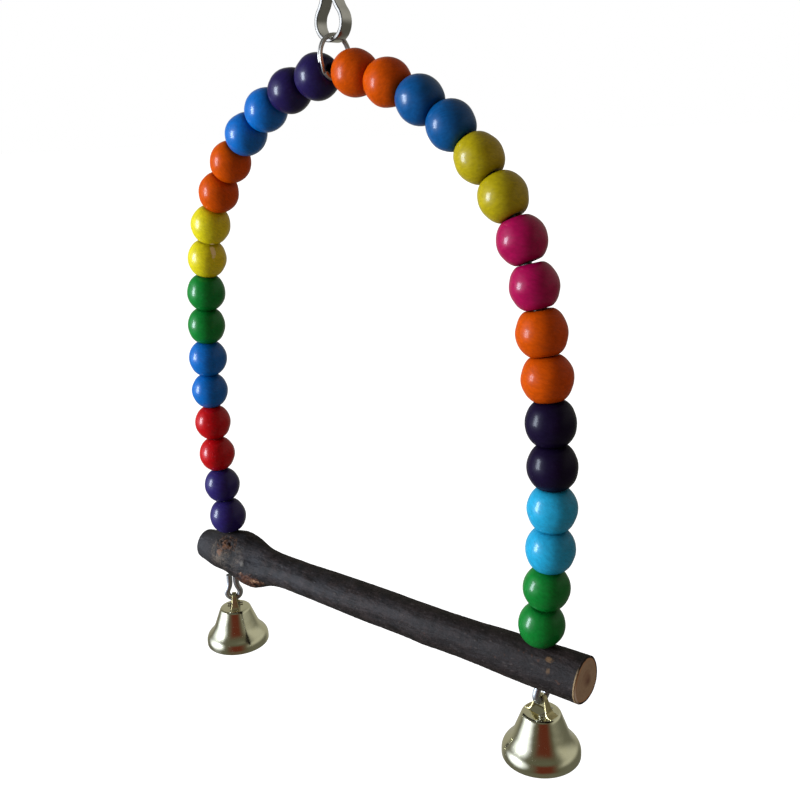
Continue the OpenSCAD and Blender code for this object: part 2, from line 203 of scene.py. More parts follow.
class Nodes:
    """A node tree being built, for a finish or for a shape."""

    def __init__(self, tree):
        self.tree = tree

    def add(self, kind, settings=None, inputs=None, give=0):
        node = self.tree.nodes.new(kind)
        for name, setting in (settings or {}).items():
            setattr(node, name, setting)
        for name, value in (inputs or {}).items():
            feed(node.inputs[name], value)
        return Value(node.outputs[give])

    def noise(self, place, scale, detail=3, rough=0.55):
        inputs = {"Vector": place, "Scale": scale, "Detail": detail, "Roughness": rough}
        return self.add("ShaderNodeTexNoise", inputs=inputs)

    def stretch(self, place, scale, shift=(0, 0, 0)):
        inputs = {"Vector": place, "Scale": scale, "Location": shift}
        return self.add("ShaderNodeMapping", inputs=inputs)

    def between(self, value, low, high):
        return self.add("ShaderNodeMapRange", {"interpolation_type": "SMOOTHSTEP"},
                        {0: value, 1: low, 2: high})

    def blend(self, share, first, second):
        return self.add("ShaderNodeMix", {"data_type": "RGBA"}, {0: share, 6: first, 7: second}, 2)

    def far(self, place, point):
        return self.add("ShaderNodeVectorMath", {"operation": "DISTANCE"}, {0: place, 1: point}, 1)

    def parts(self, place):
        apart = self.add("ShaderNodeSeparateXYZ", inputs={0: place}).socket.node
        return [Value(socket) for socket in apart.outputs]


class Finish(Nodes):
    """One procedural material laid out on Object coordinates."""

    def __init__(self, name):
        self.material = bpy.data.materials.new(name)
        self.material.use_nodes = True
        super().__init__(self.material.node_tree)
        self.shader = self.tree.nodes["Principled BSDF"]
        self.place = self.add("ShaderNodeTexCoord", give="Object")

    def attribute(self, name, give):
        return self.add("ShaderNodeAttribute", {"attribute_name": name}, give=give)

    def bump(self, height, deep, strength=1.0):
        inputs = {"Height": height, "Distance": deep, "Strength": strength}
        return self.add("ShaderNodeBump", inputs=inputs)

    def lay(self, **sockets):
        """Feeds the shader's sockets, named with _ for a space, and gives the material."""
        for name, value in sockets.items():
            feed(self.shader.inputs[name.replace("_", " ")], value)
        return self.material


def colour(red, green, blue):
    """A colour as the eye gives it, 0 to 255, as the light it sends back."""
    seen = [c / 255 for c in (red, green, blue)]
    light = [c / 12.92 if c < 0.04045 else ((c + 0.055) / 1.055) ** 2.4 for c in seen]
    return (*light, 1)


bark = Finish("branch_bark")
along, aside = bark.parts(bark.place)[:2]
streak = bark.noise(bark.stretch(bark.place, (0.3, 1, 1)), 800, 4, 0.6)
blotch = bark.noise(bark.place, 230, 3)
crumb = bark.noise(bark.stretch(bark.place, (0.6, 1, 1)), 2300, 3, 0.65)
ragged, grit = bark.noise(bark.place, 420, 3), bark.noise(bark.place, 1200, 2)
tone = bark.between(streak * 0.5 + blotch * 0.65 + crumb * 0.65, 0.76, 1.15)
ground = bark.blend(tone, colour(9, 5, 4), colour(53, 43, 41))
rough_bark = bark.between(along, -0.035, 0.06)
ground = bark.blend(rough_bark * 0.42, ground, colour(30, 22, 20))
bloom = bark.between(bark.noise(bark.place, 120, 2), 0.46, 0.64) * (1 - rough_bark)
ground = bark.blend(bloom * 0.35, ground, colour(46, 45, 48))
ground = bark.blend(0.7 - 0.7 * bark.between(along, -0.081, -0.077), ground, colour(37, 35, 36))
flecks = bark.add("ShaderNodeTexVoronoi", inputs={
    "Vector": bark.stretch(bark.place, (0.45, 1, 1)), "Scale": 700})
fleck = (1 - bark.between(flecks, 0.1, 0.36)) * bark.between(ragged, 0.44, 0.62)
ground = bark.blend(fleck * 0.3, ground, colour(86, 76, 72))
rust = bark.between(bark.noise(bark.place, 520, 2), 0.67, 0.75) * rough_bark
ground = bark.blend(rust * 0.3, ground, colour(92, 58, 40))


def patch(middle, sizes, soft=0.35):
    """Where a patch of the bark lies: 1 in its middle, 0 outside, with a ragged edge."""
    scale = [1 / (size * MM) for size in sizes]
    shift = [-place / size for place, size in zip(middle, sizes)]
    away = bark.far(bark.stretch(bark.place, scale, shift), (0, 0, 0))
    away = away + (ragged - 0.5) * 0.7 + (grit - 0.5) * 1.3
    edge = 1.05
    return 1 - bark.between(away, edge - soft, edge)


halo = patch((-70.4, -8, -216), (10.5, 8, 7.5), 0.7)
ground = bark.blend(halo * 0.85, ground, bark.blend(tone, colour(25, 21, 18), colour(100, 88, 75)))
# Painted shade: a dark bluish patch over the hollow right of the boss, where the bark faces away from
# the window.
ground = bark.blend(patch(boss_hollow, (5, 4, 3.2), 0.6) * 0.5, ground, colour(16, 16, 22))
whirl = bark.far(bark.place, tuple(knot_scar * MM)) * 1900 + ragged * 12
curls = whirl.sum("SINE", whirl) * 0.5 + 0.5
knot = patch(knot_scar, (5.2, 4.4, 3.9), 0.6)
ground = bark.blend(knot * 0.95, ground, bark.blend(curls, colour(14, 8, 6), colour(98, 66, 46)))
# Small marks on the knot: painted shadow in a hollow, a brown curl, a dark crack and a tan spot.
for place, sizes, much, tint in (
        ((-69.9, -5.1, -212.2), (1.7, 1.6, 1.5), 0.9, colour(16, 8, 9)),
        ((-71.2, -6.6, -213.5), (1, 1.4, 1.7), 0.7, colour(102, 66, 42)),
        ((-74.4, -9.1, -216.6), (0.8, 1.6, 2.1), 0.9, colour(16, 10, 8)),
        ((-72.4, -8.6, -215.6), (1.7, 1.9, 2.1), 0.85, colour(110, 79, 59))):
    ground = bark.blend(patch(place, sizes, 0.7) * much, ground, tint)
chips = bark.noise(bark.stretch(bark.place, (0.6, 1, 1), (0.3, 0, 0)), 430, 2)
torn = patch(torn_scar, (7.6, 4, 3.6))
splinters = bark.blend(bark.between(chips, 0.34, 0.46), colour(34, 16, 12), colour(80, 48, 32))
splinters = bark.blend(bark.between(chips, 0.51, 0.62), splinters, colour(152, 114, 86))
ground = bark.blend(torn * 0.9, ground, splinters)
nub = patch(boss_nub, (1.1, 1.6, 1.7), 0.8)
ground = bark.blend(nub * 0.6, ground, colour(112, 106, 98))
grazes = patch((80.4, -4.3, -211.7), (1.6, 1.3, 1.1), 0.8) * 0.6
grazes = grazes + patch((81.3, -6.3, -214.4), (0.8, 1, 1.5), 0.8) * 0.4
ground = bark.blend(grazes, ground, colour(124, 92, 58))
front_side = 1 - bark.between(aside + (ragged - 0.5) * 0.002, -0.0066, -0.0036)
sawn_edge = bark.between(along, 0.0903, 0.0907) * front_side
ground = bark.blend(sawn_edge * 0.8, ground, colour(176, 148, 108))
bark_height = streak * 0.8 + crumb * (0.25 + rough_bark * 0.35) + fleck * 0.3
bark_height = bark_height + torn * chips + knot * curls
bark.lay(
    Base_Color=ground,
    Roughness=0.5 + crumb * 0.3,
    Specular_IOR_Level=0.2,
    Normal=bark.bump(bark_height, 0.0003, 0.9),
)

cut_wood = Finish("branch_cut")
share = cut_wood.attribute("pith_share", 2)
aside, upward = cut_wood.parts(cut_wood.place)[1:]
saw = cut_wood.noise(cut_wood.stretch(cut_wood.place, (1, 0.3, 1.5)), 1300, 3)
wave = cut_wood.noise(cut_wood.place, 240, 3)
years = share * 34 + wave * 9
year_ring = years.sum("SINE", years) * 0.5 + 0.5
figure = year_ring * 0.1 + saw * 0.4 + wave * 0.5
wood = cut_wood.blend(figure, colour(186, 166, 132), colour(142, 118, 90))
shake_place, shake_wide = (0.091, 0.0004, -0.2161), 0.0026
shake = cut_wood.far(cut_wood.place, shake_place) / shake_wide + (wave - 0.5)
wood = cut_wood.blend(0.35 - 0.35 * cut_wood.between(shake, 0.4, 1.3), wood, colour(124, 80, 58))
heart = 1 - cut_wood.between(share + (wave - 0.5) * 0.5, 0.04, 0.4)
wood = cut_wood.blend(heart * 0.75, wood, colour(104, 64, 46))
bast = cut_wood.between(share + (saw - 0.5) * 0.12, 0.82, 0.9)
wood = cut_wood.blend(bast * wave * 1.1, wood, colour(190, 138, 84))
chipped = 1 - cut_wood.between(aside + (wave - 0.5) * 0.002, -0.0062, -0.0034)
rim = cut_wood.between(share + (saw - 0.5) * 0.06 + chipped * 0.06, 0.92, 0.96)
edge_high = cut_wood.between(upward, -0.219, -0.214)
edge_wood = cut_wood.blend(edge_high, colour(206, 194, 172), colour(172, 124, 72))
wood = cut_wood.blend(rim, wood, cut_wood.blend(chipped, colour(50, 38, 32), edge_wood))
cut_wood.lay(
    Base_Color=wood,
    Roughness=0.7 + saw * 0.2,
    Normal=cut_wood.bump(saw * 0.7 + year_ring * 0.1, 0.00015, 0.8),
)

branch_mesh.materials.append(bark.material)
branch_mesh.materials.append(cut_wood.material)
cut_rows = len(cut_shares)
for face in branch_mesh.polygons:
    row = face.vertices[0] // around
    on_cut = len(face.vertices) == 3 or row < cut_rows or row >= len(rows) - 1 - cut_rows
    face.material_index = 1 if on_cut else 0
branch_mesh.shade_smooth()
branch_mesh.set_sharp_from_angle(angle=math.radians(50))


def made(name, data):
    """A new object in the scene."""
    piece = bpy.data.objects.new(name, data)
    bpy.context.collection.objects.link(piece)
    return piece


def drilled(piece, tools):
    """Cuts the tools out of a piece, which is left a plain mesh without slivers or doubled faces."""
    for tool in tools:
        cut = piece.modifiers.new("cut", "BOOLEAN")
        cut.operation, cut.solver, cut.object = "DIFFERENCE", "EXACT", tool
    bpy.context.view_layer.update()
    solid = piece.evaluated_get(bpy.context.evaluated_depsgraph_get())
    mesh = bpy.data.meshes.new_from_object(solid)
    skin = bmesh.new()
    skin.from_mesh(mesh)
    sliver = 2e-6
    bmesh.ops.dissolve_degenerate(skin, dist=sliver, edges=skin.edges)
    bmesh.ops.triangulate(skin, faces=skin.faces)
    twins = {}
    for face in skin.faces:
        twins.setdefault(frozenset(face.verts), []).append(face)
    folded = [face for same in twins.values() if len(same) > 1 for face in same]
    bmesh.ops.delete(skin, geom=folded, context="FACES")
    skin.to_mesh(mesh)
    skin.free()
    piece.modifiers.clear()
    piece.data = mesh
    for tool in tools:
        bpy.data.objects.remove(tool)


def drill(x):
    """An upright drill through the branch, turned so that its edges miss the rows of the bark."""
    tool, radius, turned = bmesh.new(), hole_radius * MM, 0.07
    place = Matrix.Translation((x * MM, 0, branch_axis(x) * MM)) @ Matrix.Rotation(turned, 4, "Z")
    bmesh.ops.create_cone(tool, cap_ends=True, segments=30, radius1=radius, radius2=radius,
                          depth=50 * MM, matrix=place)
    mesh = bpy.data.meshes.new("drill")
    tool.to_mesh(mesh)
    tool.free()
    return made("drill", mesh)


perch = made("perch_branch", branch_mesh)
drilled(perch, [drill(-hole_place), drill(hole_place)])
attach(perch, "frame")
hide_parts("perch")


# Beads: thirty-two turned wooden balls with flattened ends, bored along the grain, dyed and
# lacquered, and threaded in pairs of one colour on the two legs of the wire. None is quite round.
bead_ball, bead_half, bead_bore, out_of_round = 7.5 * MM, 6.7 * MM, 2.1 * MM, 0.045


def shape(name, inputs):
    """A new Geometry Nodes tree with named inputs; gives its nodes and the inputs by name."""
    tree = bpy.data.node_groups.new(name, "GeometryNodeTree")
    tree.is_modifier = True
    tree.interface.new_socket("Geometry", in_out="OUTPUT", socket_type="NodeSocketGeometry")
    for label, kind in {"Geometry": "Geometry", **inputs}.items():
        tree.interface.new_socket(label, in_out="INPUT", socket_type="NodeSocket" + kind)
    start = tree.nodes.new("NodeGroupInput")
    return Nodes(tree), {socket.name: Value(socket) for socket in start.outputs if socket.name}


def close(nodes, geometry, finish):
    """Ends a tree: instances become mesh, and the finish is laid on."""
    solid = nodes.add("GeometryNodeRealizeInstances", inputs={"Geometry": geometry})
    smooth = nodes.add("GeometryNodeSetShadeSmooth", inputs={"Geometry": solid})
    laid = nodes.add("GeometryNodeSetMaterial", inputs={"Geometry": smooth, "Material": finish})
    feed(nodes.tree.nodes.new("NodeGroupOutput").inputs[0], laid)
    return nodes.tree


def grown(name, tree, sizes, mesh=None):
    """A plain mesh piece that a tree makes from a start mesh and its sizes."""
    piece = made(name, mesh or bpy.data.meshes.new(name))
    run = piece.modifiers.new("shape", "NODES")
    run.node_group = tree
    for socket in tree.interface.items_tree:
        if socket.in_out == "INPUT" and socket.name in sizes:
            run[socket.identifier] = sizes[socket.name]
    bpy.context.view_layer.update()
    solid = piece.evaluated_get(bpy.context.evaluated_depsgraph_get())
    mesh = bpy.data.meshes.new_from_object(solid)
    mesh.name = name
    piece.modifiers.clear()
    piece.data = mesh
    return piece


nodes, given = shape("turned_bead", {
    "Ball Radius": "Float", "Half Length": "Float", "End Radius": "Float", "Bore Radius": "Float",
    "Out Of Round": "Float", "Middle": "Vector", "Along": "Vector", "Seed": "Int",
    "Finish": "Material"})
# A flat sheet is rolled up: its rows run over the ball from end to end and back through the bore.
ball_share, bore_share, last_ball_row, soft_edge, rolled_edge = 0.82, 0.18, 0.818, 0.0004, 0.00025
sheet = nodes.add("GeometryNodeMeshGrid", inputs={
    "Size X": 1, "Size Y": 1, "Vertices X": 61, "Vertices Y": 45})
flat_x, flat_y = nodes.parts(nodes.add("GeometryNodeInputPosition"))[:2]
way = flat_y.sum("FRACT", flat_y + 0.5)
turn = (flat_x + 0.5) * (2 * math.pi)
outside = way.sum("LESS_THAN", way, ball_share)
bore = given["Bore Radius"]
first_angle = bore.sum("ARCSINE", bore / given["Half Length"])
angle = first_angle + (way / last_ball_row) * (math.pi - 2 * first_angle)
across, up = angle.sum("SINE", angle), angle.sum("COSINE", angle)
sunk = given["End Radius"] - given["Half Length"]
dome = (given["End Radius"] ** 2 - (sunk * across) ** 2) ** 0.5 - sunk * abs(up)
ball = dome.sum("SMOOTH_MIN", given["Ball Radius"], dome, soft_edge)
wide = bore.sum("MAXIMUM", ball * across, bore)
rolled = bore.sum("EXPONENT", (bore - wide) / soft_edge) * rolled_edge
high = ball * up - rolled * up.sum("SIGN", up)
edge = given["Half Length"] - bore * bore / (2 * given["End Radius"]) - rolled_edge
inner_high = ((way - ball_share) / bore_share) * 2 * edge - edge
radius = outside * wide + (1 - outside) * bore
height = outside * high + (1 - outside) * inner_high
ball_place = nodes.add("ShaderNodeCombineXYZ", inputs={
    0: radius * turn.sum("COSINE", turn), 1: radius * turn.sum("SINE", turn), 2: height})
side_only = 1 - nodes.between(abs(up), 0.35, 0.8)
lump = nodes.add("ShaderNodeTexNoise", {"noise_dimensions": "4D"},
                 {"Vector": ball_place, "W": given["Seed"] * 1.37, "Scale": 110, "Detail": 1})
shrink = 1 - outside * side_only * given["Out Of Round"] * nodes.between(lump, 0.25, 0.75)
lumpy = nodes.add("ShaderNodeVectorMath", {"operation": "SCALE"}, {0: ball_place, "Scale": shrink})
rounded = nodes.add("GeometryNodeSetPosition", inputs={"Geometry": sheet, "Position": lumpy})
sealed = nodes.add("GeometryNodeMergeByDistance", inputs={"Geometry": rounded, "Distance": 1e-6})
kept = nodes.add("GeometryNodeStoreNamedAttribute", {"data_type": "FLOAT_VECTOR"},
                 {"Geometry": sealed, "Name": "grain", "Value": nodes.add("GeometryNodeInputPosition")})
luck = nodes.add("FunctionNodeRandomValue", {"data_type": "FLOAT"}, {"Seed": given["Seed"], "ID": 7}, 1)
toned = nodes.add("GeometryNodeStoreNamedAttribute", {"data_type": "FLOAT"},
                  {"Geometry": kept, "Name": "bead_luck", "Value": luck})
threaded = nodes.add("FunctionNodeAlignRotationToVector", {"axis": "Z"}, {"Vector": given["Along"]})
spot = nodes.add("GeometryNodePoints", inputs={"Count": 1, "Position": given["Middle"]})
placed = nodes.add("GeometryNodeInstanceOnPoints", inputs={
    "Points": spot, "Instance": toned, "Rotation": threaded})
bead_tree = close(nodes, placed, given["Finish"])

dyes = {
    "purple": colour(32, 21, 72), "blue": colour(4, 98, 176), "orange": colour(198, 75, 0),
    "yellow": colour(214, 198, 18), "green": colour(8, 120, 42), "red": colour(182, 3, 12),
    "violet": colour(40, 29, 92), "navy": colour(6, 79, 136), "olive": colour(172, 153, 10),
    "pink": colour(162, 5, 72), "dark_purple": colour(22, 12, 40), "sky": colour(32, 158, 198),
}
thin_lacquer, thick_lacquer = ("orange", "dark_purple"), ("green", "blue")


def dyed_wood(name, dye):
    """Wood dyed in one colour: fibres run along the bore, the ends drink more dye, lacquer on top."""
    wood = Finish("bead_" + name)
    own, luck = wood.attribute("grain", 1), wood.attribute("bead_luck", 2)
    shift = wood.add("ShaderNodeCombineXYZ", inputs={0: luck * 0.7, 1: luck * 1.9, 2: luck * 3.1})
    own_grain = wood.add("ShaderNodeVectorMath", {"operation": "ADD"}, {0: own, 1: shift})
    fibre = wood.noise(wood.stretch(own_grain, (1, 1, 0.09)), 1500, 4, 0.6)
    pores = wood.between(wood.noise(wood.stretch(own_grain, (1, 1, 0.06)), 2600, 2), 0.58, 0.72)
    cloudy = wood.noise(own_grain, 190, 3)
    end = wood.between(abs(wood.parts(own)[2]), 0.0047, 0.0066)
    pale = tuple(min(1, c * 1.3 + 0.0008) for c in dye[:3]) + (1,)
    deep = tuple(c * 0.55 for c in dye[:3]) + (1,)
    stain = wood.blend(wood.between(fibre * 0.45 + cloudy * 0.75 + luck * 0.12, 0.4, 0.92), deep, pale)
    stain = wood.blend(pores * 0.45 + end * 0.4, stain, deep)
    height = fibre * 0.5 - pores * 0.8 + cloudy * 0.6
    if name == "yellow":
        # A splinter of bare wood shows where two of the yellow beads meet.
        splinter_long, splinter_wide = (1, 1, 0.24), 0.0015
        torn = wood.stretch(wood.place, splinter_long, (0.0661, 0.002, 0.0224))
        rag = (wood.noise(wood.place, 900, 2) - 0.5) * 0.7
        bare = 1 - wood.between(wood.far(torn, (0, 0, 0)) / splinter_wide + rag, 0.5, 0.8)
        stain = wood.blend(bare, stain, colour(238, 214, 146))
        height = height - bare * 2.5
    lacquer = 0.22 if name in thin_lacquer else 0.44 if name in thick_lacquer else 0.4
    return wood.lay(
        Base_Color=stain,
        Roughness=0.28 + cloudy * 0.12 + end * 0.2,
        Coat_Weight=lacquer - end * 0.16 - pores * 0.08,
        Coat_Roughness=0.2,
        Specular_IOR_Level=0.02 if name in thin_lacquer else 0.05,
        Normal=wood.bump(height, 0.00004, 0.7),
    )


bead_finish = {name: dyed_wood(name, dye) for name, dye in dyes.items()}
spins = {joint["child"]: joint for joint in frame["joints"] if joint["name"].endswith("_spin")}
legs = {
    "left": ["purple", "blue", "orange", "yellow", "green", "blue", "red", "violet"],
    "right": ["orange", "navy", "olive", "pink", "orange", "dark_purple", "sky", "green"],
}
# The beads aren't all one size: a run of fuller ones hangs on the right leg, slimmer ones on the left.
sorted_beads = {"left": (range(12, 16), 0.965), "right": (range(9, 15), 1.05)}
beads_on_leg, beads_in_bend, first_seed = 16, 8, {"left": 0, "right": 40}
# Beads in the bend have rounder ends and less room between their inner edges. The lowest bead on
# the right leg is shorter, because it rests on the bark.
bend_end, straight_end, bend_spare, bark_spare = 40 * MM, 60 * MM, 0.1 * MM, 0.32 * MM
for leg, pairs in legs.items():
    run, girth = sorted_beads[leg]
    for number in range(1, beads_on_leg + 1):
        body = f"bead_{leg}_{number}"
        name = pairs[(number - 1) // 2]
        in_bend = number <= beads_in_bend
        spare = bend_spare if in_bend else bark_spare if body == "bead_right_16" else 0
        bead = grown("turned_" + body, bead_tree, {
            "Ball Radius": bead_ball * (girth if number in run else 1),
            "Half Length": bead_half - spare,
            "End Radius": bend_end if in_bend else straight_end,
            "Bore Radius": bead_bore, "Out Of Round": out_of_round,
            "Middle": spins[body]["pos_m"], "Along": spins[body]["axis"],
            "Seed": number + first_seed[leg], "Finish": bead_finish[name]})
        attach(bead, body)
        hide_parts(body)


# Arch wire: one length of galvanised steel wire, bent over the top, down both legs and through
# the perch, with an eye bent below each end to carry a bell and keep the perch on.
wire_radius, arch_top = 1.2, -35.0172
# Each bend is its radius and its turn in degrees: the crown, a shoulder, a leg and the foot.
half_arch = [(25, -7), (81, -71.5), (290, -20.595), (40, 9.095)]
eye_radius, eye_apart, cut_end_gap = 2.7, 1.3, 0.6
eye_neck, eye_drop = {"left": 8, "right": 3}, {"left": 3.4, "right": 0.3}
eye_turned = {"left": 230, "right": 82}


def walk(bends, start=(0, 0, 0), step=0.5):
    """Points along a list of bends (radius, turn) and straights (0, length), with left positive."""
    x, y, heading = start
    path = [(x, y, heading)]
    for radius, much in bends:
        run = much if radius == 0 else radius * math.radians(abs(much))
        count = max(2, math.ceil(run / step))
        for k in range(1, count + 1):
            if radius == 0:
                now, gone = heading, much * k / count
                path.append((x + gone * math.cos(now), y + gone * math.sin(now), now))
            else:
                now, side = heading + math.radians(much) * k / count, math.copysign(radius, much)
                path.append((x + side * (math.sin(now) - math.sin(heading)),
                             y - side * (math.cos(now) - math.cos(heading)), now))
        x, y, heading = path[-1]
    return path


def eye_path(end):
    """The eye below one end of the perch, from the foot of the stem round to the cut end."""
    neck = eye_neck[end]
    fall = math.sqrt((neck + eye_radius) ** 2 - (eye_apart + neck) ** 2)
    cut = math.degrees(math.atan2(fall, eye_apart + neck))
    x = hole_place if end == "right" else -hole_place
    top = branch_axis(x) - branch_radius(x, 270) - eye_drop[end]
    bends = [(neck, -cut), (eye_radius, 180 + 2 * cut), (neck, -cut)]
    if eye_drop[end] > cut_end_gap:
        bends.append((0, eye_drop[end] - cut_end_gap))
    flat = walk(bends, (0, 0, -math.pi / 2), 0.3)
    way = math.radians(eye_turned[end])
    return [(x + a * math.cos(way), a * math.sin(way), top + b) for a, b, heading in flat]


def path_mesh(name, path):
    """A mesh of points and edges along a path, for a tree to sweep a section along."""
    mesh = bpy.data.meshes.new(name)
    links = [(k, k + 1) for k in range(len(path) - 1)]
    mesh.from_pydata([tuple(c * MM for c in p) for p in path], links, [])
    return mesh


nodes, given = shape("bent_wire", {"Wire Radius": "Float", "Finish": "Material"})
line = nodes.add("GeometryNodeMeshToCurve", inputs={"Mesh": given["Geometry"]})
section = nodes.add("GeometryNodeCurvePrimitiveCircle", inputs={
    "Resolution": 20, "Radius": given["Wire Radius"]})
swept = nodes.add("GeometryNodeCurveToMesh", inputs={
    "Curve": line, "Profile Curve": section, "Fill Caps": True})
wire_tree = close(nodes, swept, given["Finish"])

zinc = Finish("galvanised_wire")
spangle = zinc.noise(zinc.place, 900, 3)
drawn = zinc.noise(zinc.stretch(zinc.place, (1, 1, 0.2)), 3200, 2)
dull = zinc.between(zinc.noise(zinc.place, 300, 3), 0.4, 0.65)
# Painted shade: above the perch, where the beads cover the wire and leave small gaps, the wire is
# painted dark; it is also made rougher there.
shaded_dull_under_beads = zinc.between(zinc.parts(zinc.place)[2], -0.2098, -0.209)
grey = zinc.blend(dull * 0.6 + spangle * 0.3, colour(206, 208, 210), colour(148, 150, 153))
zinc.lay(
    Base_Color=zinc.blend(shaded_dull_under_beads * 0.85, grey, colour(52, 50, 48)),
    Metallic=1.0,
    Roughness=0.34 + dull * 0.14 + drawn * 0.1 + shaded_dull_under_beads * 0.12,
    Normal=zinc.bump(spangle * 0.5 + drawn * 0.5, 0.00005, 0.5),
)

right_leg = [(a, 0, arch_top + b) for a, b, heading in walk(half_arch)]
left_leg = [(-a, b, c) for a, b, c in right_leg]
whole = eye_path("left")[::-1] + left_leg[::-1] + right_leg[1:] + eye_path("right")
arch = grown("bent_arch_wire", wire_tree, {"Wire Radius": wire_radius * MM, "Finish": zinc.material},
             path_mesh("arch_path", whole))
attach(arch, "frame")
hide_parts("arch_wire")


# Bells: stamped from thin brass-coloured plated steel, flared and turned down at the rim. A
# strap is slit from the crown and pushed up, and hangs the bell in the wire eye.
bell_thick, crown_flat, crown_round, wall_lean, wall_run = 0.7, 5.4, 1.2, 21, 7
mouth, flare_turn, rim_round, rim_drop = 13, 26, 4, 1.6
crown_height, strap_wide, slot_wide, strap_spread = -4.2, 1.7, 4.3, 1.3
strap_top, strap_foot, strap_slope, strap_proud, strap_edge = 1.9, 2, 72, 0.15, 0.15

nodes, given = shape("bent_strip", {
    "Thickness": "Float", "Width": "Float", "Edge Rounding": "Float", "Flat Side": "Vector",
    "Finish": "Material"})
line = nodes.add("GeometryNodeMeshToCurve", inputs={"Mesh": given["Geometry"]})
aimed = nodes.add("GeometryNodeSetCurveNormal", {"mode": "FREE"},
                  {"Curve": line, "Normal": given["Flat Side"]})
oblong = nodes.add("GeometryNodeCurvePrimitiveQuadrilateral", inputs={
    "Width": given["Width"], "Height": given["Thickness"]})
eased = nodes.add("GeometryNodeFilletCurve", {"mode": "POLY"}, {
    "Curve": oblong, "Count": 4, "Radius": given["Edge Rounding"], "Limit Radius": True})
through = nodes.parts(nodes.add("GeometryNodeInputPosition"))[1]
marked = nodes.add("GeometryNodeStoreNamedAttribute", {"data_type": "FLOAT"},
                   {"Geometry": eased, "Name": "through", "Value": through / given["Thickness"] * 2})
swept = nodes.add("GeometryNodeCurveToMesh", inputs={
    "Curve": aimed, "Profile Curve": marked, "Fill Caps": True})
strip_tree = close(nodes, swept, given["Finish"])

plate = Finish("bell_plate")
smear = plate.noise(plate.place, 130, 2)
haze = plate.noise(plate.place, 420, 4)
pit = plate.between(plate.noise(plate.place, 1500, 2), 0.64, 0.74)
plate.lay(
    Base_Color=plate.blend(haze * 0.7 + pit * 0.3, colour(240, 238, 210), colour(226, 218, 178)),
    Metallic=1.0,
    Roughness=0.1 + haze * 0.1 + pit * 0.2,
    Normal=plate.bump(smear + haze * 0.06, 0.0003, 0.5),
)


def scuffed_metal(name, scale, first, second, smooth, deep, strength):
    """Plain metal that has rubbed against its neighbours: its colour, gloss and dents vary together."""
    metal = Finish(name)
    scuff = metal.noise(metal.place, scale, 3)
    return metal.lay(
        Base_Color=metal.blend(scuff, first, second),
        Metallic=1.0,
        Roughness=smooth + scuff * 0.2,
        Normal=metal.bump(scuff, deep, strength),
    )


strap_plate = scuffed_metal(
    "bell_strap", 900, colour(222, 210, 160), colour(172, 158, 112), 0.34, 0.00006, 0.5)


def bell_face(inner):
    """The bell's face from the crown to the rim, set in by a distance from the outside."""
    lean, rim_lean = math.radians(wall_lean), math.radians(wall_lean + flare_turn)
    reach = mouth - rim_round * (1 - math.cos(rim_lean))
    wall = crown_flat + crown_round * math.cos(lean) + wall_run * math.sin(lean)
    flare = (reach - wall) / (math.cos(lean) - math.cos(rim_lean))
    bends = [(crown_round - inner, wall_lean - 90), (0, wall_run), (flare + inner, flare_turn),
             (rim_round - inner, -wall_lean - flare_turn), (0, rim_drop)]
    return [(a, b) for a, b, heading in walk(bends, (crown_flat, crown_height - inner, 0), 0.4)]


def bell_shell(name):
    """A round shell closed at the crown, with a rounded lip."""
    outer, inner = bell_face(0), bell_face(bell_thick)
    lip_low, flat_rings, sides = 0.3, 6, 112
    lip = [(inner[-1][0] + bell_thick / 2 * (1 + math.cos(t)),
            outer[-1][1] + lip_low - lip_low * math.sin(t)) for t in np.linspace(0, math.pi, 7)]
    flat = [crown_flat * k / flat_rings for k in range(1, flat_rings)]
    profile = [(r, crown_height) for r in flat] + outer[:-1] + lip + inner[-2::-1]
    profile += [(r, crown_height - bell_thick) for r in reversed(flat)]
    turns = [2 * math.pi * k / sides for k in range(sides)]
    points = [(r * math.cos(t) * MM, r * math.sin(t) * MM, z * MM) for r, z in profile for t in turns]
    faces = []
    for row in range(0, (len(profile) - 1) * sides, sides):
        for k in range(sides):
            beside = (k + 1) % sides
            faces.append((row + k, row + sides + k, row + sides + beside, row + beside))
    points += [(0, 0, crown_height * MM), (0, 0, (crown_height - bell_thick) * MM)]
    last = (len(profile) - 1) * sides
    faces += [(len(points) - 2, k, (k + 1) % sides) for k in range(sides)]
    faces += [(len(points) - 1, last + (k + 1) % sides, last + k) for k in range(sides)]
    mesh = bpy.data.meshes.new(name)
    mesh.from_pydata(points, [], faces)
    return made(name, mesh)


